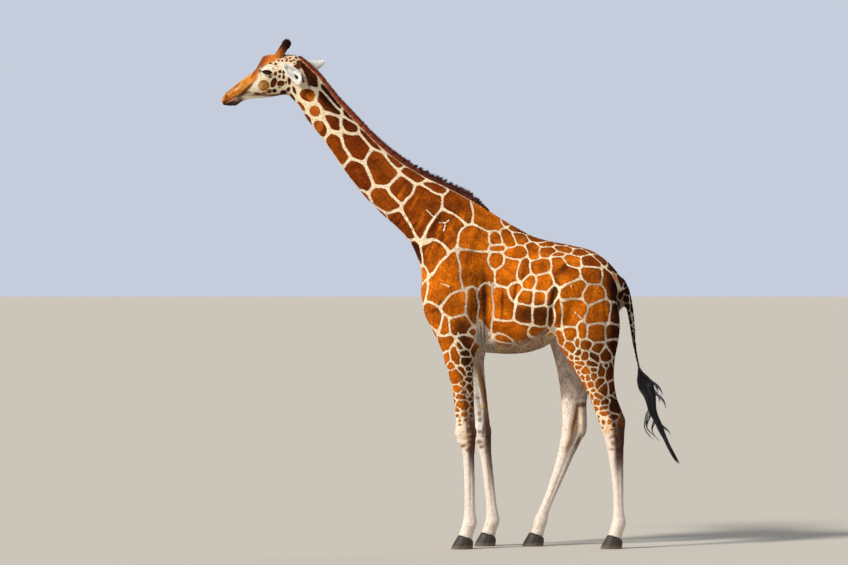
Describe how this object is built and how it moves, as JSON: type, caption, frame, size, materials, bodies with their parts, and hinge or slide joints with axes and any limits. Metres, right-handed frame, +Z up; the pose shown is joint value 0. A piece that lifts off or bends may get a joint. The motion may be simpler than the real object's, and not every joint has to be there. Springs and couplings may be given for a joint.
{
  "type": "reticulated giraffe",
  "caption": "Life-size still model of an adult reticulated giraffe standing in profile, neck raised and one hind leg forward, with mane, tufted tail and horns.",
  "frame": {"origin": "on the floor under the centre of the animal's bounding box", "axes": "+Z up, nose towards -X, the animal's left side towards -Y"},
  "size_m": [3.8079, 0.6022, 4.2095],
  "materials": {
    "coat": "short glossy hair, brown patches parted by cream lines",
    "mane_hair": "stiff upright bristles",
    "tail_hair": "long coarse hair with a soft sheen",
    "horn_skin": "haired skin over bone, dark hair at the tip",
    "eye": "wet and glossy",
    "hoof_horn": "dull horn with fine growth rings"
  },
  "bodies": {
    "root": {"ear_left": "coat", "ear_right": "coat", "eye_left": "eye", "eye_right": "eye", "foreleg_left": "coat", "foreleg_right": "coat", "head": "coat", "hindleg_left": "coat", "hindleg_right": "coat", "hoof_foreleg_left_inner": "hoof_horn", "hoof_foreleg_left_outer": "hoof_horn", "hoof_foreleg_right_inner": "hoof_horn", "hoof_foreleg_right_outer": "hoof_horn", "hoof_hindleg_left_inner": "hoof_horn", "hoof_hindleg_left_outer": "hoof_horn", "hoof_hindleg_right_inner": "hoof_horn", "hoof_hindleg_right_outer": "hoof_horn", "mane": "mane_hair", "neck": "coat", "ossicone_left": "horn_skin", "ossicone_right": "horn_skin", "tail": "coat", "tail_tuft": "tail_hair", "trunk": "coat"}
  },
  "joints": []
}
